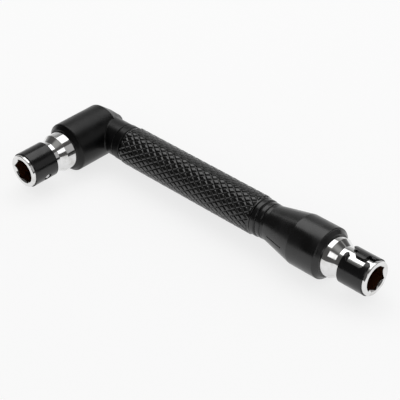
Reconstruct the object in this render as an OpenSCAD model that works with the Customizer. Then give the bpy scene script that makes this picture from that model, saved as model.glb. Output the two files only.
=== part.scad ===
// Double-ended offset bit driver: an L with one hexagon bit socket in line with
// the handle and an identical one at right angles to it.
// Lies flat on its two round housings. +X runs along the handle towards the
// straight socket, -Y along the short arm towards the offset socket, +Z is up.
// The origin is the bottom centre of the whole tool. Millimetres.

/* [Overall] */
// short arm's axis to the face of the straight socket
straight_reach = 101; // [98:0.5:112]
// long arm's axis to the face of the offset socket
offset_reach = 29.3; // [29:0.1:34]
// diameter of the two round housings that the tool lies on
body_d = 14.4; // [14:0.1:15.4]

/* [Hexagon bore] */
// across flats of the bit that the sockets take
bit_af = 6.35; // [6.33:0.01:6.37]
// bore across flats beyond the bit's
bore_play = 0.05; // [0.03:0.01:0.1]
// depth that a bit can go in
bit_depth = 12.1; // [11:0.1:13]
// conical mouth's depth at the middle of each flat
mouth_depth = 0.42; // [0.3:0.01:0.5]
// angle from the detent ball round to the nearest corner of the bore
bore_turn = 22; // [21:1:24]

/* [Bit sockets] */
// front rim's diameter
rim_d = 9.52; // [9.3:0.02:9.7]
// front rim's length
rim_len = 0.85; // [0.7:0.05:1]
// rounding of the rim's edges
rim_round = 0.22; // [0.15:0.01:0.3]
// diameter of the barrel under the spring sleeve
barrel_d = 8.7; // [8.6:0.02:8.72]
// length of the open waist behind the spring sleeve
waist_len = 1.55; // [1.4:0.05:1.7]
// length of the cone between the waist and the full stock
stock_cone_len = 2; // [1.8:0.1:2.2]
// diameter of the full stock
stock_d = 11; // [10.8:0.05:11.1]
// straight socket's face to the front of its housing
straight_proud = 13.7; // [13.5:0.1:14]
// face to the back of the straight socket
straight_socket_len = 26; // [25:0.5:27]

/* [Spring sleeves] */
// outer diameter of the open sleeves
sleeve_d = 10.16; // [10.1:0.02:10.2]
// sheet thickness
sleeve_wall = 0.68; // [0.62:0.01:0.68]
// length
sleeve_len = 7.6; // [7.3:0.1:7.8]
// angle from the detent ball round to the recess that the tongue points into
recess_turn = 121; // [118:1:124]
// width of the gap between the tongue and the end of that recess
gap_w = 2.46; // [2.4:0.02:2.7]
// how far the prongs beside the recess stand out from its end
prong_proud = 2.3; // [2.2:0.05:2.35]
// width of the prong on the side of the face
front_prong_w = 1.4; // [1.3:0.05:1.5]
// width of the prong on the side of the waist
rear_prong_w = 0.8; // [0.75:0.05:0.9]
// rounding of the recess's corners
recess_round = 0.8; // [0.6:0.05:0.9]
// length of the tongue along the sleeve
tongue_len = 3.05; // [2.8:0.05:3.3]
// how far the tongue stands out beyond the corners beside it
tongue_proud = 2.15; // [1.9:0.05:2.4]
// rounding of the tongue's corners
tongue_round = 0.35; // [0.3:0.05:0.4]
// rounding of the prongs' outer corners and of the corners beside the tongue
corner_round = 0.6; // [0.5:0.05:0.7]

/* [Detent balls] */
// ball diameter
ball_d = 2.4; // [2.38:0.01:2.42]
// play of the ball between its seat and the sleeve
ball_play = 0.015; // [0.01:0.005:0.02]
// guide hole's diameter beyond the ball's
guide_play = 0.08; // [0.06:0.01:0.1]
// diameter of the holes that stop the ball on both sides
seat_d = 2.3; // [2.28:0.01:2.32]
// face to the ball's centre
ball_back = 5; // [4.8:0.1:5.2]
// direction of the straight end's ball, from straight down towards the short arm's side
straight_ball_turn = 19; // [16:1:22]
// direction of the offset end's ball, from level towards the long arm to straight down
offset_ball_turn = 28; // [25:1:31]

/* [Magnets] */
// magnet diameter
magnet_d = 5; // [4.8:0.1:5.2]
// magnet length
magnet_len = 2.8; // [2.6:0.1:3]

/* [Offset head] */
// short arm's axis to the neck's end
neck_end = 10; // [9.5:0.1:11]
// diameter of the neck
neck_d = 10.3; // [10.2:0.05:10.5]
// long arm's axis to the edge of the head's front
head_front = 13.3; // [13:0.1:13.5]
// long arm's axis to the start of the rear's first cone
rear_edge = 0.9; // [0.7:0.1:1.1]
// long arm's axis to where the first cone meets the steeper second one
rear_bend = 4; // [3.8:0.1:4.2]
// diameter where they meet
rear_bend_d = 9.2; // [9:0.1:9.4]
// how far the second cone ends short of the long arm's housing radius
rear_clear = 0.1; // [0.05:0.05:0.3]
// diameter of the flat at its end
rear_flat_d = 2.8; // [2.4:0.1:3.2]

/* [Housings] */
// wall round the sockets' shanks
shell_wall = 2.2; // [2:0.1:2.3]
// height of the shallow cone on each housing's front
front_cone_len = 1; // [0.8:0.1:1.2]
// small diameter of that cone
front_cone_d = 12; // [11.9:0.1:12.2]
// rounding of each housing's front edge
front_round = 0.3; // [0.2:0.05:0.4]

/* [Grip] */
// outer diameter of the textured grip over its crests
grip_d = 11.2; // [11:0.05:11.3]
// length of the smooth rear collar
rear_collar_len = 2.6; // [2.4:0.1:2.8]
// diameter of the rear collar
rear_collar_d = 10.6; // [10.5:0.05:10.8]
// diameter of the front collar's first ring
front_ring_d = 10.6; // [10.5:0.05:10.8]
// diameter of the front collar's second ring
front_step_d = 10.2; // [10.1:0.05:10.4]
// length of each of the two rings
front_ring_len = 1.7; // [1.6:0.05:1.8]
// diameter between the rings
ring_valley_d = 9.8; // [9.7:0.05:9.9]
// rounding of the collars' edges
collar_round = 0.4; // [0.3:0.05:0.45]
// open joint between neighbouring outer pieces
seam = 0.12; // [0.1:0.01:0.2]

/* [Nose housing] */
// length of the plain neck before the flare
nose_lead = 0.9; // [0.7:0.1:1.1]
// length of the flare
flare_len = 10; // [9.5:0.1:10.5]
// diameter of that neck, where the flare starts
flare_start_d = 10.1; // [10:0.05:10.3]
// length of the cylinder after the flare
nose_len = 8.8; // [8.5:0.1:9.1]
// length of the parting slit in the flare's sides
slit_len = 6; // [5:0.1:7]
// width of the slit
slit_w = 0.3; // [0.25:0.01:0.35]
// depth of the slit
slit_depth = 0.35; // [0.3:0.01:0.4]

/* [Core] */
// diameter of the steel core rod
rod_d = 4.5; // [4.3:0.1:4.6]
// diameter of the offset socket's tail, which the rod passes through
tail_d = 7.6; // [7.4:0.1:7.8]
// tail's reach behind the long arm's axis
tail_reach = 3.4; // [3.2:0.1:3.5]
// tail's reach in front of it, where the shank starts
tail_front = 4.6; // [4.4:0.1:4.8]
// depth of the rod's bore in the straight socket
rod_grip = 8; // [7:0.5:9]
// diameter of the cross pins
pin_d = 1.5; // [1.4:0.1:1.6]
// least wall over the handle core tube
core_cover = 0.55; // [0.5:0.05:0.65]
// length that the tube goes into head and nose
tube_grip = 3.6; // [3:0.1:4]

/* [Fits] */
// gap between pieces that are pressed or moulded together
fit_gap = 0.03; // [0.02:0.01:0.04]

/* [Hidden] */
$fn = 96;
// overrun of every cut past the surface that it opens
over = body_d / 20;

// where the sockets' round surfaces start, clear of the balls' holes and the hexagons' corners
seam_turn = 45;

body_r = body_d / 2;
bore_af = bit_af + bore_play;

// long arm: distances from the short arm's axis
tube_start = neck_end - tube_grip;
rear_collar_start = neck_end + seam;
grip_start = rear_collar_start + rear_collar_len + seam;
nose_front = straight_reach - straight_proud;
flare_end = nose_front - front_cone_len - nose_len;
flare_start = flare_end - flare_len;
nose_start = flare_start - nose_lead;
front_collar_len = 2 * front_ring_len + seam;
front_collar_start = nose_start - seam - front_collar_len;
grip_end = front_collar_start - seam;
tube_end = nose_start + tube_grip;
straight_socket_back = straight_reach - straight_socket_len;
slimmest_d = min(neck_d, rear_collar_d, grip_d, front_step_d, ring_valley_d, flare_start_d);
tube_d = slimmest_d - 2 * core_cover;
rod_end = straight_socket_back + rod_grip - fit_gap;
rod_start = 2 * fit_gap - tail_d / 2;
nose_pin_at = straight_socket_back + rod_grip / 2;
head_front_end = head_front + front_cone_len;
offset_proud = offset_reach - head_front_end;
shank_d = body_d - 2 * shell_wall;

// socket: distances back from its face
sleeve_front = rim_len + seam / 2;
sleeve_back = sleeve_front + sleeve_len;
stock_cone_front = sleeve_back + waist_len;
stock_front = stock_cone_front + stock_cone_len;
magnet_room = magnet_len + 2 * fit_gap;
bore_end = bit_depth + magnet_room;

// sleeve: where its tongue ends, as an angle from the ball, where the prongs end
// beside it, and the share of its radius by which each rounded corner dips below
// the cut that it opens into
sleeve_r = sleeve_d / 2;
sleeve_inner_r = sleeve_r - sleeve_wall;
tongue_turn = recess_turn + asin(gap_w / sleeve_r);
prong_tip = prong_proud - gap_w;
corner_dip = 0.1;

// detent ball: radial distances from the socket's axis
ball_r = ball_d / 2;
sleeve_edge_r = sqrt(pow(sleeve_inner_r, 2) - pow(seat_d / 2, 2));
ball_at = sleeve_edge_r - sqrt(pow(ball_r + ball_play, 2) - pow(seat_d / 2, 2));
seat_at = ball_at - sqrt(pow(ball_r + ball_play, 2) - pow(seat_d / 2, 2));
guide_d = ball_d + guide_play;

// row frame: where the two arms' axes cross
corner_x = -(straight_reach - body_r) / 2;
corner_y = (offset_reach - body_r) / 2;

black_shell = [0.07, 0.07, 0.075];
black_grip = [0.05, 0.05, 0.052];
bright = [0.86, 0.87, 0.88];
black_spring = [0.1, 0.1, 0.11];
steel = [0.6, 0.61, 0.63];
nickel = [0.72, 0.72, 0.7];

// Frames

// the crossing of the arms' axes at the origin becomes its place in the row
module placed() {
  translate([corner_x, corner_y, body_r])
    children();
}

// local +Z along the long arm, local +X down
module along_handle() {
  placed()
    rotate([0, 90, 0])
      children();
}

// local +Z along the short arm
module along_short_arm() {
  placed()
    rotate([90, 0, 0])
      children();
}

// local origin on the straight socket's face, +Z out of it
module at_straight_face() {
  along_handle()
    translate([0, 0, straight_reach])
      children();
}

// the same for the offset socket
module at_offset_face() {
  along_short_arm()
    translate([0, 0, offset_reach])
      children();
}

// the same two, turned so that +X points towards the detent ball
module at_straight_ball() {
  at_straight_face()
    rotate([0, 0, -straight_ball_turn])
      children();
}

module at_offset_ball() {
  at_offset_face()
    rotate([0, 0, -offset_ball_turn])
      children();
}

// Shared shapes

module hexagon(af) {
  circle(d = 2 * af / sqrt(3), $fn = 6);
}

module ring(outer_d, inner_d, length) {
  linear_extrude(height = length)
    difference() {
      circle(d = outer_d);
      circle(d = inner_d);
    }
}

// profile of a straight bar with a rounded edge at its far end
module rounded_bar_profile(r, length, edge) {
  square([r - edge, length]);
  square([r, length - edge]);
  translate([r - edge, length - edge])
    circle(r = edge);
}

// ring with both outer edges rounded
module soft_ring(outer_d, inner_d, length, edge) {
  rotate_extrude()
    difference() {
      union() {
        translate([0, edge])
          square([outer_d / 2, length - 2 * edge]);
        square([outer_d / 2 - edge, length]);
        for (at = [edge, length - edge])
          translate([outer_d / 2 - edge, at])
            circle(r = edge);
      }
      translate([0, -over])
        square([inner_d / 2, length + 2 * over]);
    }
}

// solid of a housing's front: cylinder, rounded edge and shallow cone, ending at z = 0
module housing_front(length) {
  rotate_extrude() {
    translate([0, -length])
      rounded_bar_profile(body_r, length - front_cone_len, front_round);
    polygon([
      [0, -front_cone_len - front_round],
      [body_r - front_round, -front_cone_len - front_round],
      [body_r - front_round, -front_cone_len],
      [front_cone_d / 2, 0],
      [0, 0],
    ]);
  }
}

// Sockets

// outside of a socket from its face: the stock ends at z = -proud, the shank at z = -back
module socket_outside(proud, back) {
  rotate([0, 0, seam_turn]) {
    rotate_extrude() {
      // rim
      translate([0, -rim_len])
        rounded_bar_profile(rim_d / 2, rim_len, rim_round);
      // barrel and waist
      translate([0, -stock_cone_front])
        square([barrel_d / 2, stock_cone_front - rim_len / 2]);
    }
    // cone and stock
    translate([0, 0, -stock_front])
      cylinder(h = stock_cone_len, d1 = stock_d, d2 = barrel_d);
    translate([0, 0, fit_gap - proud])
      cylinder(h = proud - fit_gap - stock_front, d = stock_d);
    // shank inside the housing
    translate([0, 0, -back])
      cylinder(h = back - stock_front, d = shank_d);
  }
}

// everything cut into a socket from its face
module socket_inside() {
  mouth_r = bore_af / 2 + mouth_depth;
  // hexagon bore for the bit
  translate([0, 0, -bit_depth])
    rotate([0, 0, bore_turn])
      linear_extrude(height = bit_depth + over)
        hexagon(bore_af);
  // conical mouth
  translate([0, 0, -mouth_depth])
    cylinder(h = mouth_depth + over, r1 = bore_af / 2, r2 = mouth_r + over);
  // room for the magnet
  translate([0, 0, -bore_end])
    cylinder(h = magnet_room + over, d = magnet_d + 2 * fit_gap);
  // guide hole for the detent ball, and the smaller hole that it rests in
  translate([0, 0, -ball_back])
    rotate([0, 90, 0]) {
      translate([0, 0, seat_at])
        cylinder(h = barrel_d, d = guide_d);
      cylinder(h = barrel_d, d = seat_d);
    }
}

module straight_socket() {
  color(bright)
    difference() {
      at_straight_face()
        socket_outside(straight_proud, straight_socket_len);
      at_straight_ball()
        socket_inside();
      // bore for the core rod
      at_straight_face()
        translate([0, 0, -straight_socket_len - over])
          cylinder(h = rod_grip + over, d = rod_d + 2 * fit_gap);
      cross_pin(nose_pin_at, shank_d + 2 * over, pin_d + 2 * fit_gap);
    }
}

module offset_socket() {
  color(bright)
    difference() {
      union() {
        at_offset_face()
          socket_outside(offset_proud, offset_reach - tail_front);
        // tail that the core rod passes through
        along_short_arm()
          translate([0, 0, -tail_reach])
            rotate([0, 0, seam_turn])
              cylinder(h = tail_front + tail_reach + over, d = tail_d);
      }
      at_offset_ball()
        socket_inside();
      along_handle()
        translate([0, 0, -tail_d])
          cylinder(h = 2 * tail_d, d = rod_d + 2 * fit_gap);
      cross_pin(0, tail_d + 2 * over, pin_d + 2 * fit_gap);
    }
}

// Spring sleeves, detent balls and magnets

// what rounds off a corner of the sheet that fills x > 0, y < 0
module corner_cut(r) {
  translate([0, -r])
    difference() {
      translate([-over, 0])
        square([r + over, r + over]);
      translate([r, -r * corner_dip])
        circle(r = r);
    }
}

// outline of the sleeve's opening, seen from outside, with +y towards the face:
// the tongue ends at x = 0, the recess that it points into ends at x = -gap_w
module gap_outline() {
  half = sleeve_len / 2;
  recess_len = sleeve_len - front_prong_w - rear_prong_w;
  // recess between the two prongs, with rounded inner corners
  translate([-gap_w, rear_prong_w - half]) {
    translate([recess_round, 0])
      square([gap_w - recess_round, recess_len]);
    translate([0, recess_round])
      square([gap_w, recess_len - 2 * recess_round]);
    for (at = [recess_round, recess_len - recess_round])
      translate([recess_round, at])
        circle(r = recess_round);
  }
  for (end = [0, 1])
    mirror([0, end]) {
      // corner set back beside the tongue, down to the prong's tip
      translate([prong_tip, tongue_len / 2])
        square([tongue_proud - prong_tip, half + over - tongue_len / 2]);
      translate([0, tongue_len / 2])
        corner_cut(tongue_round);
      translate([tongue_proud, half])
        corner_cut(corner_round);
      translate([prong_tip, half])
        mirror([1, 0])
          corner_cut(corner_round);
    }
}

module spring_sleeve() {
  difference() {
    translate([0, 0, -sleeve_back])
      ring(sleeve_d, 2 * sleeve_inner_r, sleeve_len);
    // opening
    rotate([0, 0, -tongue_turn])
      translate([0, 0, -sleeve_back + sleeve_len / 2])
        rotate([90, 0, 90])
          linear_extrude(height = sleeve_d)
            mirror([1, 0])
              gap_outline();
    // hole that the ball bears on
    translate([0, 0, -ball_back])
      rotate([0, 90, 0])
        cylinder(h = sleeve_d, d = seat_d);
  }
}

module detent_ball() {
  translate([ball_at, 0, -ball_back])
    sphere(d = ball_d);
}

module magnet() {
  translate([0, 0, -bore_end + fit_gap])
    cylinder(h = magnet_len, d = magnet_d);
}

module straight_spring_sleeve() {
  color(black_spring)
    at_straight_ball()
      spring_sleeve();
}

module offset_spring_sleeve() {
  color(black_spring)
    at_offset_ball()
      spring_sleeve();
}

module straight_detent_ball() {
  color(steel)
    at_straight_ball()
      detent_ball();
}

module offset_detent_ball() {
  color(steel)
    at_offset_ball()
      detent_ball();
}

module straight_magnet() {
  color(nickel)
    at_straight_face()
      magnet();
}

module offset_magnet() {
  color(nickel)
    at_offset_face()
      magnet();
}

// Core

// rod's outline, grown by a gap when it is a hole for the rod
module rod_shape(gap) {
  along_handle()
    translate([0, 0, rod_start - gap])
      cylinder(h = rod_end - rod_start + 2 * gap, d = rod_d + 2 * gap);
}

// upright cross pin at a place on the long arm, or the hole for it
module cross_pin(at, length, d) {
  placed()
    translate([at, 0, -length / 2])
      cylinder(h = length, d = d);
}

module core_rod() {
  color(steel)
    difference() {
      rod_shape(0);
      for (at = [0, nose_pin_at])
        cross_pin(at, rod_d + 2 * over, pin_d + 2 * fit_gap);
    }
}

module head_pin() {
  color(steel)
    cross_pin(0, tail_d - 4 * fit_gap, pin_d);
}

module nose_pin() {
  color(steel)
    cross_pin(nose_pin_at, shank_d - 4 * fit_gap, pin_d);
}

module handle_core() {
  color(black_shell)
    along_handle()
      translate([0, 0, tube_start + fit_gap])
        ring(tube_d, rod_d + 2 * fit_gap, tube_end - tube_start - 2 * fit_gap);
}

// Outer pieces

// rear: two cones from the housing's radius at the long arm's axis to a small flat end
module rear_profile() {
  polygon([
    [0, 0],
    [body_r, 0],
    [body_r, rear_edge],
    [rear_bend_d / 2, rear_bend],
    [rear_flat_d / 2, body_r - rear_clear],
    [0, body_r - rear_clear],
  ]);
}

module offset_head() {
  color(black_shell)
    difference() {
      union() {
        along_short_arm()
          translate([0, 0, head_front_end])
            housing_front(head_front_end);
        along_short_arm()
          mirror([0, 0, 1])
            rotate_extrude()
              rear_profile();
        along_handle()
          cylinder(h = neck_end, d = neck_d);
      }
      // pocket for the socket's shank
      along_short_arm()
        translate([0, 0, tail_front - fit_gap])
          cylinder(h = head_front_end, d = shank_d + 2 * fit_gap);
      // pocket for its tail
      along_short_arm()
        translate([0, 0, -tail_reach - fit_gap])
          cylinder(h = tail_reach + tail_front + over, d = tail_d + 2 * fit_gap);
      // bores for the rod and the handle core
      rod_shape(fit_gap);
      along_handle()
        translate([0, 0, tube_start])
          cylinder(h = tube_grip + over, d = tube_d + 2 * fit_gap);
    }
}

module rear_collar() {
  color(black_shell)
    along_handle()
      translate([0, 0, rear_collar_start])
        soft_ring(rear_collar_d, tube_d + 2 * fit_gap, rear_collar_len, collar_round);
}

module grip_sleeve() {
  color(black_grip)
    along_handle()
      translate([0, 0, grip_start])
        soft_ring(grip_d, tube_d + 2 * fit_gap, grip_end - grip_start, collar_round / 2);
}

module front_collar() {
  color(black_shell)
    along_handle()
      translate([0, 0, front_collar_start]) {
        soft_ring(front_ring_d, tube_d + 2 * fit_gap, front_ring_len, collar_round);
        ring(ring_valley_d, tube_d + 2 * fit_gap, front_collar_len);
        translate([0, 0, front_ring_len + seam])
          soft_ring(front_step_d, tube_d + 2 * fit_gap, front_ring_len, collar_round);
      }
}

module nose_housing() {
  slope = atan2((body_d - flare_start_d) / 2, flare_len);
  mid_r = (body_d + flare_start_d) / 4;
  color(black_shell)
    difference() {
      union() {
        along_handle()
          translate([0, 0, nose_start])
            cylinder(h = nose_lead, d = flare_start_d);
        along_handle()
          translate([0, 0, flare_start])
            cylinder(h = flare_len, d1 = flare_start_d, d2 = body_d);
        along_handle()
          translate([0, 0, nose_front])
            housing_front(nose_len + front_cone_len);
      }
      // parting slits at mid height on both sides
      for (side = [0, 1])
        placed()
          mirror([0, side, 0])
            translate([flare_start + flare_len / 2, mid_r, 0])
              rotate([0, 0, slope])
                translate([-slit_len / 2, -slit_depth, -slit_w / 2])
                  cube([slit_len, slit_depth + over, slit_w]);
      // pocket for the socket's shank
      along_handle()
        translate([0, 0, straight_socket_back - fit_gap])
          cylinder(h = straight_socket_len, d = shank_d + 2 * fit_gap);
      // bores for the rod and the handle core
      rod_shape(fit_gap);
      along_handle()
        translate([0, 0, nose_start - over])
          cylinder(h = tube_grip + over, d = tube_d + 2 * fit_gap);
    }
}

offset_head();
rear_collar();
grip_sleeve();
front_collar();
nose_housing();
handle_core();
core_rod();
head_pin();
nose_pin();
straight_socket();
offset_socket();
straight_spring_sleeve();
offset_spring_sleeve();
straight_detent_ball();
offset_detent_ball();
straight_magnet();
offset_magnet();
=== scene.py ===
import math
import bmesh
import bpy
from mathutils import Matrix, Vector


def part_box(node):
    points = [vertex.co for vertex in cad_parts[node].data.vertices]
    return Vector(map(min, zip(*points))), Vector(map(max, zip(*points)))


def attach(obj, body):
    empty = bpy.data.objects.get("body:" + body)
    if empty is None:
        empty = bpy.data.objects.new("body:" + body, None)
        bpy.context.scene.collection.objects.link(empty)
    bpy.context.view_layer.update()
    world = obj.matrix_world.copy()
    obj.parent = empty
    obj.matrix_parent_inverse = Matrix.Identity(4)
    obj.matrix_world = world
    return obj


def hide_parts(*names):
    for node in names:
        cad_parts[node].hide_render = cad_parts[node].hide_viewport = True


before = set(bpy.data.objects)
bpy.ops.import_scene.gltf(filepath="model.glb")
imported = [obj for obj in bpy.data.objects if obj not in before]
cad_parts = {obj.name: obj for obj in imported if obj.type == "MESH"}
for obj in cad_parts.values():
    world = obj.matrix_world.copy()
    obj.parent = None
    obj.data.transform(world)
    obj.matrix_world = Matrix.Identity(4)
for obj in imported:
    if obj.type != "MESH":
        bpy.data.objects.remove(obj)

scene = bpy.context.scene
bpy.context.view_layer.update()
mm = 0.001
fitGap = 0.03 * mm  # between pieces that are pressed or moulded together
mergeDistance = 0.002 * mm


def middle(node):
    low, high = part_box(node)
    return (Vector(low) + Vector(high)) / 2


# The handle runs along X through the rear collar, the short arm along Y through the offset socket.
handle = middle("rear_collar")
elbow = Vector((middle("offset_spring_sleeve").x, handle.y, handle.z))
straightFace = Vector((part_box("straight_socket")[1][0], elbow.y, elbow.z))
offsetFace = Vector((elbow.x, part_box("offset_socket")[0][1], elbow.z))
alongHandle = Vector((1, 0, 0))
alongShortArm = Vector((0, -1, 0))
print("frame loaded")


# A wire carries one value through a node tree, and arithmetic on wires adds Math nodes.
class Wire:
    def __init__(self, maker, socket):
        self.maker = maker
        self.socket = socket

    def math(self, operation, *values, clamp=False):
        settings = {"operation": operation, "use_clamp": clamp}
        return self.maker.add("ShaderNodeMath", settings, dict(enumerate(values)))

    def __add__(self, other):
        return self.math("ADD", self, other)

    def __radd__(self, other):
        return self.math("ADD", other, self)

    def __sub__(self, other):
        return self.math("SUBTRACT", self, other)

    def __rsub__(self, other):
        return self.math("SUBTRACT", other, self)

    def __mul__(self, other):
        return self.math("MULTIPLY", self, other)

    def __truediv__(self, other):
        return self.math("DIVIDE", self, other)

    def __abs__(self):
        return self.math("ABSOLUTE", self)

    def clamped(self):
        return self.math("ADD", self, 0.0, clamp=True)

    def fraction(self):
        return self.math("FRACT", self)

    def whole(self):
        return self.math("FLOOR", self)

    def sine(self):
        return self.math("SINE", self)

    def cosine(self):
        return self.math("COSINE", self)

    def atMost(self, other):
        return self.math("MINIMUM", self, other)

    # the square root, with rounding errors below zero taken as zero
    def root(self):
        return self.math("SQRT", self.math("MAXIMUM", self, 0.0))

    def part(self, axis):
        output = "XYZ".index(axis)
        return self.maker.add("ShaderNodeSeparateXYZ", {}, {0: self}, output)

    # 0 below start, 1 above end, smooth between
    def ramp(self, start, end):
        settings = {"interpolation_type": "SMOOTHSTEP"}
        sockets = {"Value": self, "From Min": start, "From Max": end}
        return self.maker.add("ShaderNodeMapRange", settings, sockets)


# Adds nodes to one tree: the type, its settings, then the values or links of its sockets.
class Maker:
    def __init__(self, tree):
        self.tree = tree

    def add(self, kind, settings=None, sockets=None, output=0):
        node = self.tree.nodes.new(kind)
        for name, value in (settings or {}).items():
            setattr(node, name, value)
        for key, value in (sockets or {}).items():
            self.feed(node.inputs[key], value)
        if len(node.outputs) == 0:
            return node
        return Wire(self, node.outputs[output])

    def feed(self, socket, value):
        if isinstance(value, Wire):
            self.tree.links.new(value.socket, socket)
        else:
            socket.default_value = value


# Every finish is one Principled shader, fed by noises in Object coordinates. In the looks, a noise
# is its scale per metre, detail, roughness and stretch, and a range is where its effect starts and
# is full. "rough" holds the roughness at the two ends of its range.
noiseMiddle = 0.5
bevelSamples = 6
objectOutput = 3  # of a Texture Coordinate node
factorOutput = 2  # of an Attribute node
numberOutput = 1  # of a Vector Math node
colourOutput = 2  # of a Mix node set to colours


def noise(maker, place, scale, detail, roughness=0.5, stretch=(1, 1, 1)):
    scaled = maker.add("ShaderNodeMapping", {}, {"Vector": place, "Scale": stretch})
    sockets = {"Vector": scaled, "Scale": scale, "Detail": detail, "Roughness": roughness}
    return maker.add("ShaderNodeTexNoise", {}, sockets)


def between(share, low, high):
    return low + share * (high - low)


def asColour(value):
    return (*value, 1) if isinstance(value, tuple) else value


# the Mix node's sockets: 0 is its factor, 6 and 7 are its two colours
def blendColours(maker, share, first, second):
    sockets = {0: share, 6: asColour(first), 7: asColour(second)}
    return maker.add("ShaderNodeMix", {"data_type": "RGBA"}, sockets, colourOutput)


def vectorMath(maker, operation, *values, output=0):
    settings = {"operation": operation}
    return maker.add("ShaderNodeVectorMath", settings, dict(enumerate(values)), output)


def objectPlace(maker):
    return maker.add("ShaderNodeTexCoord", {}, {}, objectOutput)


# the grain as bump, over edges rounded for the light alone where the look has an edge
def bumped(maker, look, height):
    sockets = {"Strength": look["bump"], "Distance": look["bumpHeight"], "Height": height}
    if "edge" in look:
        settings = {"samples": bevelSamples}
        sockets["Normal"] = maker.add("ShaderNodeBevel", settings, {"Radius": look["edge"]})
    return maker.add("ShaderNodeBump", {}, sockets)


def newFinish(name):
    material = bpy.data.materials.new(name)
    material.use_nodes = True
    material.node_tree.nodes.clear()
    return material, Maker(material.node_tree)


def closeFinish(maker, sockets):
    surface = maker.add("ShaderNodeBsdfPrincipled", {}, sockets)
    maker.add("ShaderNodeOutputMaterial", {}, {"Surface": surface})


# cloud is the slow change of colour and gloss over a moulding
shellLook = {
    "colours": ((0.001, 0.001, 0.0012), (0.004, 0.004, 0.0045)), "colourRange": (0.35, 0.65),
    "cloud": (160, 4.0), "rough": (0.20, 0.33), "roughRange": (0.3, 0.7), "gloss": 0.6,
    "scuffs": (900, 6.0, 0.7, (0.3, 1, 1)), "scuffRange": (0.60, 0.72),
    "scuffRough": 0.12, "scuffHeight": 0.5,
    "grain": (5200, 2.0), "bump": 0.5, "bumpHeight": 0.006 * mm, "edge": 0.25 * mm,
}
headLook = {**shellLook, "gloss": 0.32, "rough": (0.28, 0.42)}


def shellFinish(name, look):
    material, maker = newFinish(name)
    place = objectPlace(maker)
    cloud = noise(maker, place, *look["cloud"])
    grain = noise(maker, place, *look["grain"])
    scuffs = noise(maker, place, *look["scuffs"]).ramp(*look["scuffRange"])
    rough = between(cloud.ramp(*look["roughRange"]), *look["rough"])
    closeFinish(maker, {
        "Base Color": blendColours(maker, cloud.ramp(*look["colourRange"]), *look["colours"]),
        "Roughness": (rough + scuffs * look["scuffRough"]).clamped(),
        "Specular IOR Level": look["gloss"],
        "Normal": bumped(maker, look, grain + scuffs * look["scuffHeight"]),
    })
    return material


# the mesh's "crest" value tells tops from grooves: the tops are worn smoother, unevenly in patches,
# and painted a little lighter than the grooves, a painted highlight on the tops and painted shade
# in the grooves
gripLook = {
    "colours": ((0.0006, 0.0006, 0.0008), (0.0016, 0.0016, 0.0018)), "rough": (0.13, 0.10),
    "gloss": 0.75, "wearAndSheenByHeight": 1.2, "wornByPatch": 0.5, "patches": (220, 3.0),
    "grain": (4200, 3.0), "grainRough": 0.06, "bump": 0.5, "bumpHeight": 0.008 * mm,
}


def gripFinish(name, look):
    material, maker = newFinish(name)
    place = objectPlace(maker)
    height = maker.add("ShaderNodeAttribute", {"attribute_name": "crest"}, {}, factorOutput)
    grain = noise(maker, place, *look["grain"])
    patches = noise(maker, place, *look["patches"])
    # this share sets the colour too: by height, the tops are lighter as a painted highlight and the
    # grooves darker as painted shade
    wearAndPaintedSheen = height * look["wearAndSheenByHeight"] + (patches - noiseMiddle) * look["wornByPatch"]
    wearAndPaintedSheen = wearAndPaintedSheen.clamped()
    rough = between(wearAndPaintedSheen, *look["rough"]) + (grain - noiseMiddle) * look["grainRough"]
    closeFinish(maker, {
        "Base Color": blendColours(maker, wearAndPaintedSheen, *look["colours"]),
        "Roughness": rough,
        "Specular IOR Level": look["gloss"],
        "Normal": bumped(maker, look, grain),
    })
    return material


# plate over turned and drawn steel: fine rings round the axis, and a dull brown bore
chromeLook = {
    "colours": ((0.80, 0.80, 0.80), (0.66, 0.655, 0.64)), "colourRange": (0.45, 0.75),
    "cloud": (420, 4.0), "rough": (0.07, 0.16), "roughRange": (0.35, 0.75),
    "ringScale": 9000, "ringDetail": 3.0, "bump": 0.6, "bumpHeight": 0.0015 * mm, "edge": 0.10 * mm,
    "boreColour": (0.30, 0.14, 0.06), "boreRough": 0.40,
    "boreRadii": (0.995 * 3.76 * mm, 3.76 * mm), "boreDepths": (0.225 * mm, 0.9 * mm),
}


def chromeFinish(name, look, face, outward):
    material, maker = newFinish(name)
    place = objectPlace(maker)
    fromFace = vectorMath(maker, "SUBTRACT", place, face)
    ahead = vectorMath(maker, "DOT_PRODUCT", fromFace, outward, output=numberOutput)
    distance = vectorMath(maker, "LENGTH", fromFace, output=numberOutput)
    radius = (distance * distance - ahead * ahead).root()
    depth = 0.0 - ahead
    inBore = (1 - radius.ramp(*look["boreRadii"])) * depth.ramp(*look["boreDepths"])
    cloud = noise(maker, place, *look["cloud"])
    ringSockets = {"W": depth, "Scale": look["ringScale"], "Detail": look["ringDetail"]}
    rings = maker.add("ShaderNodeTexNoise", {"noise_dimensions": "1D"}, ringSockets)
    plate = blendColours(maker, cloud.ramp(*look["colourRange"]), *look["colours"])
    rough = between(cloud.ramp(*look["roughRange"]), *look["rough"])
    closeFinish(maker, {
        "Base Color": blendColours(maker, inBore, plate, look["boreColour"]),
        "Metallic": 1.0,
        "Roughness": between(inBore, rough, look["boreRough"]),
        "Normal": bumped(maker, look, rings),
    })
    return material


springLook = {
    "colours": ((0.002, 0.002, 0.0022), (0.005, 0.005, 0.0055)), "cloud": (500, 4.0),
    "rough": (0.14, 0.26), "roughRange": (0.35, 0.7), "gloss": 0.5,
    "grain": (6000, 2.0), "bump": 0.5, "bumpHeight": 0.002 * mm, "edge": 0.08 * mm,
}


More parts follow.
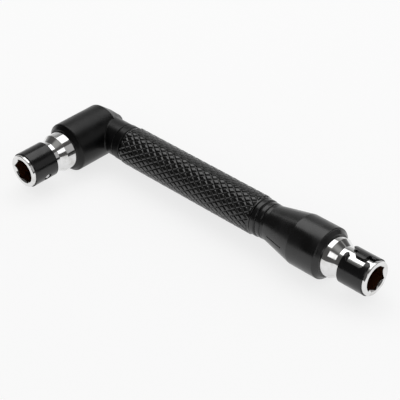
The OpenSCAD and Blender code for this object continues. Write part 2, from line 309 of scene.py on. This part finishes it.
def springFinish(name, look):
    material, maker = newFinish(name)
    place = objectPlace(maker)
    cloud = noise(maker, place, *look["cloud"])
    grain = noise(maker, place, *look["grain"])
    closeFinish(maker, {
        "Base Color": blendColours(maker, cloud, *look["colours"]),
        "Roughness": between(cloud.ramp(*look["roughRange"]), *look["rough"]),
        "Specular IOR Level": look["gloss"],
        "Normal": bumped(maker, look, grain),
    })
    return material


# scratches run along X, so their noise changes slowly that way
steelLook = {
    "colours": ((0.56, 0.56, 0.57), (0.34, 0.335, 0.33)), "colourRange": (0.4, 0.7),
    "cloud": (700, 5.0), "rough": (0.16, 0.34), "roughRange": (0.3, 0.7),
    "scratches": (2600, 3.0, 0.6, (0.15, 1, 1)), "bump": 0.4, "bumpHeight": 0.003 * mm,
}
magnetLook = {
    **steelLook, "colours": ((0.66, 0.64, 0.60), (0.42, 0.40, 0.37)), "rough": (0.2, 0.38),
}


def steelFinish(name, look):
    material, maker = newFinish(name)
    place = objectPlace(maker)
    cloud = noise(maker, place, *look["cloud"])
    scratches = noise(maker, place, *look["scratches"])
    closeFinish(maker, {
        "Base Color": blendColours(maker, cloud.ramp(*look["colourRange"]), *look["colours"]),
        "Metallic": 1.0,
        "Roughness": between(cloud.ramp(*look["roughRange"]), *look["rough"]),
        "Normal": bumped(maker, look, scratches),
    })
    return material


blackShell = shellFinish("blackMoulding", shellLook)
blackHead = shellFinish("blackHeadMoulding", headLook)
blackGrip = gripFinish("texturedGrip", gripLook)
straightChrome = chromeFinish("straightChrome", chromeLook, straightFace, alongHandle)
offsetChrome = chromeFinish("offsetChrome", chromeLook, offsetFace, alongShortArm)
blackSpring = springFinish("blackSpringSteel", springLook)
groundSteel = steelFinish("groundSteel", steelLook)
magnetNickel = steelFinish("magnetNickel", magnetLook)
finishes = {
    "offset_head": blackHead, "rear_collar": blackHead, "front_collar": blackShell,
    "nose_housing": blackShell, "handle_core": blackShell, "grip_sleeve": blackGrip,
    "straight_socket": straightChrome, "offset_socket": offsetChrome,
    "straight_spring_sleeve": blackSpring, "offset_spring_sleeve": blackSpring,
    "core_rod": groundSteel, "head_pin": groundSteel, "nose_pin": groundSteel,
    "straight_detent_ball": groundSteel, "offset_detent_ball": groundSteel,
    "straight_magnet": magnetNickel, "offset_magnet": magnetNickel,
}
for nodeName, finish in finishes.items():
    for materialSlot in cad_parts[nodeName].material_slots:
        materialSlot.material = finish
print("finishes made:", len(finishes))


def newObject(name, data):
    piece = bpy.data.objects.new(name, data)
    scene.collection.objects.link(piece)
    return piece


# the evaluated piece becomes a plain mesh, and its modifiers go
def settle(piece):
    bpy.context.view_layer.update()
    shape = piece.evaluated_get(bpy.context.evaluated_depsgraph_get())
    mesh = bpy.data.meshes.new_from_object(shape)
    mesh.name = piece.name
    piece.modifiers.clear()
    piece.data = mesh
    return piece


def standFor(piece, node, body):
    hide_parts(node)
    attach(piece, body)


# A moulded piece: the CAD solid with every edge and inner corner rounded a little.
mouldedLook = {"voxel": 0.16 * mm, "passes": 5, "pull": 0.5}


def mouldedPiece(name, node, look):
    piece = newObject(name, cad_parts[node].data.copy())
    weld = piece.modifiers.new("weld", "WELD")
    weld.merge_threshold = mergeDistance
    remesh = piece.modifiers.new("remesh", "REMESH")
    remesh.mode = "VOXEL"
    remesh.voxel_size = look["voxel"]
    remesh.use_smooth_shade = True
    smooth = piece.modifiers.new("smooth", "SMOOTH")
    smooth.factor = look["pull"]
    smooth.iterations = look["passes"]
    settle(piece)
    piece.data.materials.clear()
    piece.data.materials.append(finishes[node])
    return piece


head = mouldedPiece("mouldedHead", "offset_head", mouldedLook)
standFor(head, "offset_head", "tool")
print("moulded head:", len(head.data.polygons), "faces")


# The grip's raised diamonds: flat on top, between two families of narrow grooves that cross.
# Groove is the width of one side of a groove, as a share of the way to the next groove.
gripLow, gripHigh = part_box("grip_sleeve")
coreLow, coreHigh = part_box("handle_core")
gripPattern = {
    "Length": gripHigh[0] - gripLow[0], "Start": gripLow[0],
    "Axis Y": handle.y, "Axis Z": handle.z,
    "Crest Radius": (gripHigh[2] - gripLow[2]) / 2,
    "Inner Radius": (coreHigh[2] - coreLow[2]) / 2 + fitGap,
    "Around": 18, "Samples": 16, "Steps Along": 283,
    "Relief": 0.34 * mm, "Groove": 0.18, "Plain End": 0.35 * mm, "Full End": 0.875 * mm,
    "Unevenness": 0.08, "Seed": 7.0,
}


def gripTree(pattern):
    tree = bpy.data.node_groups.new("gripDiamonds", "GeometryNodeTree")
    tree.interface.new_socket("Geometry", in_out="OUTPUT", socket_type="NodeSocketGeometry")
    for label, value in pattern.items():
        kind = "NodeSocketInt" if isinstance(value, int) else "NodeSocketFloat"
        tree.interface.new_socket(label, in_out="INPUT", socket_type=kind)
    tree.interface.new_socket("Finish", in_out="INPUT", socket_type="NodeSocketMaterial")
    maker = Maker(tree)
    inputs = tree.nodes.new("NodeGroupInput")
    given = {socket.name: Wire(maker, socket) for socket in inputs.outputs if socket.name}

    # both tubes start as a grid one metre square, with its middle at the origin
    place = maker.add("GeometryNodeInputPosition")
    lengthwise = place.part("X") + 0.5
    around = place.part("Y") + 0.5
    angle = around * math.tau

    def tube(columns, along, radius, crest=None):
        shape = maker.add("GeometryNodeMeshGrid", {}, {
            "Size X": 1.0, "Size Y": 1.0, "Vertices X": columns,
            "Vertices Y": given["Around"] * given["Samples"] + 1,
        })
        if crest:
            settings = {"data_type": "FLOAT", "domain": "POINT"}
            sockets = {"Geometry": shape, "Name": "crest", "Value": crest}
            shape = maker.add("GeometryNodeStoreNamedAttribute", settings, sockets)
        bent = maker.add("ShaderNodeCombineXYZ", {}, {
            "X": given["Start"] + along * given["Length"],
            "Y": given["Axis Y"] + radius * angle.sine(),
            "Z": given["Axis Z"] + radius * angle.cosine(),
        })
        return maker.add("GeometryNodeSetPosition", {}, {"Geometry": shape, "Position": bent})

    # grooves run where either diagonal count is whole
    u = lengthwise * given["Steps Along"] / given["Samples"]
    v = around * given["Around"]
    first = u + v
    second = u - v
    fromFirst = 0.5 - abs(first.fraction() - 0.5)
    fromSecond = 0.5 - abs(second.fraction() - 0.5)
    diamond = (fromFirst.atMost(fromSecond) / given["Groove"]).clamped()

    # each diamond has its own luck, the same on both sides of the seam
    turns = first.whole() - second.whole()
    cell = maker.add("ShaderNodeCombineXYZ", {}, {
        "X": first.whole() + second.whole(),
        "Y": turns.math("FLOORED_MODULO", turns, given["Around"] * 2),
        "Z": given["Seed"],
    })
    luck = maker.add("ShaderNodeTexWhiteNoise", {"noise_dimensions": "3D"}, {"Vector": cell})

    toEnd = lengthwise.atMost(1 - lengthwise) * given["Length"]
    raised = diamond * toEnd.ramp(given["Plain End"], given["Full End"])
    raised = raised * (1 - luck * given["Unevenness"])
    valleyRadius = given["Crest Radius"] - given["Relief"]
    radius = valleyRadius + given["Relief"] * raised
    outer = tube(given["Steps Along"] + 1, lengthwise, radius, raised)

    # lining: in at one end, along the bore and out at the other, in three strips
    step = lengthwise * 3
    inside = step.ramp(0.0, 1.0) * (1 - step.ramp(2.0, 3.0))
    liningRadius = valleyRadius * (1 - inside) + given["Inner Radius"] * inside
    lining = tube(4, step.ramp(1.0, 2.0), liningRadius)
    lining = maker.add("GeometryNodeFlipFaces", {}, {"Mesh": lining})

    joined = maker.add("GeometryNodeJoinGeometry")
    for piece in (outer, lining):
        tree.links.new(piece.socket, joined.socket.node.inputs[0])
    mergeSockets = {"Geometry": joined, "Distance": mergeDistance}
    closed = maker.add("GeometryNodeMergeByDistance", {}, mergeSockets)
    softSockets = {"Geometry": closed, "Shade Smooth": True}
    soft = maker.add("GeometryNodeSetShadeSmooth", {}, softSockets)
    real = maker.add("GeometryNodeRealizeInstances", {}, {"Geometry": soft})
    dressSockets = {"Geometry": real, "Material": given["Finish"]}
    dressed = maker.add("GeometryNodeSetMaterial", {}, dressSockets)
    maker.add("NodeGroupOutput", {}, {0: dressed})
    return tree


def growFromTree(name, tree, values):
    piece = newObject(name, bpy.data.meshes.new(name))
    modifier = piece.modifiers.new(name, "NODES")
    modifier.node_group = tree
    for item in tree.interface.items_tree:
        if item.in_out == "INPUT":
            modifier[item.identifier] = values[item.name]
    return settle(piece)


gripValues = {**gripPattern, "Finish": blackGrip}
grip = growFromTree("texturedGrip", gripTree(gripPattern), gripValues)
standFor(grip, "grip_sleeve", "tool")
print("grip:", len(grip.data.polygons), "faces")


# The studio has a white floor and background. Rays that see it get its plain white share.
studio = {
    "floorSize": 6.0, "floorColour": (0.92, 0.92, 0.92), "floorWhite": 0.75,
    "worldLight": 0.58, "worldSeen": 1.0,
}
white = (1, 1, 1, 1)


def whenSeen(maker):
    path = maker.tree.nodes.new("ShaderNodeLightPath")
    rays = ("Is Camera Ray", "Is Glossy Ray", "Is Transmission Ray")
    camera, glossy, transmitted = (Wire(maker, path.outputs[ray]) for ray in rays)
    return (camera + glossy + transmitted).clamped()


def makeFloor(look):
    half = look["floorSize"] / 2
    mesh = bpy.data.meshes.new("floor")
    corners = [(-half, -half, 0), (half, -half, 0), (half, half, 0), (-half, half, 0)]
    mesh.from_pydata(corners, [], [(0, 1, 2, 3)])
    floor = newObject("floor", mesh)
    material, maker = newFinish("floorWhite")
    lit = maker.add("ShaderNodeBsdfDiffuse", {}, {"Color": asColour(look["floorColour"])})
    plain = maker.add("ShaderNodeEmission", {}, {"Color": white, "Strength": 1.0})
    share = whenSeen(maker) * look["floorWhite"]
    surface = maker.add("ShaderNodeMixShader", {}, {0: share, 1: lit, 2: plain})
    maker.add("ShaderNodeOutputMaterial", {}, {"Surface": surface})
    mesh.materials.append(material)


def makeWorld(look):
    world = bpy.data.worlds.new("studio")
    scene.world = world
    world.use_nodes = True
    world.node_tree.nodes.clear()
    maker = Maker(world.node_tree)
    strength = between(whenSeen(maker), look["worldLight"], look["worldSeen"])
    background = maker.add("ShaderNodeBackground", {}, {"Color": white, "Strength": strength})
    maker.add("ShaderNodeOutputWorld", {}, {"Surface": background})


# A dark surround stands round the set, as in a studio with unlit walls. Only gloss shows it.
# The wall behind the object and the ceiling are paler than the rest. Heights are shares of the
# radius, and wallSpread is how squarely a place has to face wallSide to be pale.
surroundLook = {
    "radius": 1.4, "steps": 32, "dark": (0.085, 0.083, 0.081), "wallSide": (-0.7071, 0.7071, 0),
    "wallSpread": (0.6, 0.9), "wallLow": (0.58, 0.58, 0.58), "wallHigh": (0.26, 0.26, 0.255),
    "wallHeights": (0.2, 0.65), "ceiling": (0.34, 0.34, 0.33), "ceilingHeights": (0.8, 0.9),
}
levelOnly = (1, 1, 0)


def makeSurround(look):
    mesh = bpy.data.meshes.new("surround")
    shell = bmesh.new()
    bmesh.ops.create_uvsphere(
        shell, u_segments=2 * look["steps"], v_segments=look["steps"], radius=look["radius"])
    below = [corner for corner in shell.verts if corner.co.z < -mm]
    bmesh.ops.delete(shell, geom=below, context="VERTS")
    bmesh.ops.reverse_faces(shell, faces=shell.faces)
    shell.to_mesh(mesh)
    shell.free()
    surround = newObject("surround", mesh)
    material, maker = newFinish("unlitWall")
    place = objectPlace(maker)
    height = place.part("Z") / look["radius"]
    level = vectorMath(maker, "NORMALIZE", vectorMath(maker, "MULTIPLY", place, levelOnly))
    behind = vectorMath(maker, "DOT_PRODUCT", level, look["wallSide"], output=numberOutput)
    upTheWall = height.ramp(*look["wallHeights"])
    paleWall = blendColours(maker, upTheWall, look["wallLow"], look["wallHigh"])
    walls = blendColours(maker, behind.ramp(*look["wallSpread"]), look["dark"], paleWall)
    shade = blendColours(maker, height.ramp(*look["ceilingHeights"]), walls, look["ceiling"])
    wall = maker.add("ShaderNodeEmission", {}, {"Color": shade, "Strength": 1.0})
    maker.add("ShaderNodeOutputMaterial", {}, {"Surface": wall})
    mesh.materials.append(material)
    surround.visible_camera = False
    surround.visible_diffuse = False
    surround.visible_shadow = False


# place and size in millimetres, power in watts; every lamp faces the origin
lamps = {
    "overhead": {"place": (-170, 170, 440), "size": (520, 320), "power": 0.82},
    "side": {"place": (364, 306, 155), "size": (500, 455), "power": 0.25},
    "front": {"place": (330, -318, 330), "size": (260, 220), "power": 0.22},
}
up = Vector((0, 0, 1))


def makeLamp(name, look):
    light = bpy.data.lights.new(name, "AREA")
    light.shape = "RECTANGLE"
    light.size, light.size_y = (side * mm for side in look["size"])
    light.energy = look["power"]
    lamp = newObject(name, light)
    place = Vector(look["place"]) * mm
    away = place.normalized()
    side = up.cross(away).normalized()
    turn = Matrix((side, away.cross(side), away)).transposed().to_4x4()
    lamp.matrix_world = Matrix.Translation(place) @ turn


# The view that the photograph has, worked out from the object's own edges. Angles are in degrees,
# the place, lens and sensor in millimetres.
cameraLook = {
    "azimuth": 45.93, "elevation": 36.14, "roll": 2.14, "place": (205.61, -194.82, 217.34),
    "lens": 119.9, "sensor": 36, "nearest": 10,
}


def makeCamera(look):
    angles = (math.radians(look[name]) for name in ("azimuth", "elevation", "roll"))
    azimuth, elevation, roll = angles
    level = math.cos(elevation)
    away = Vector((math.sin(azimuth) * level, -math.cos(azimuth) * level, math.sin(elevation)))
    right = (-away).cross(up).normalized()
    down = (-away).cross(right)
    side = math.cos(roll) * right + math.sin(roll) * down
    lower = math.cos(roll) * down - math.sin(roll) * right
    data = bpy.data.cameras.new("camera")
    data.lens = look["lens"]
    data.sensor_width = look["sensor"]
    data.clip_start = look["nearest"] * mm
    camera = newObject("camera", data)
    turn = Matrix((side, -lower, away)).transposed().to_4x4()
    camera.matrix_world = Matrix.Translation(Vector(look["place"]) * mm) @ turn
    scene.camera = camera


makeFloor(studio)
makeWorld(studio)
makeSurround(surroundLook)
for lampName, lampLook in lamps.items():
    makeLamp(lampName, lampLook)
makeCamera(cameraLook)
scene.view_settings.view_transform = "Standard"
print("studio ready")
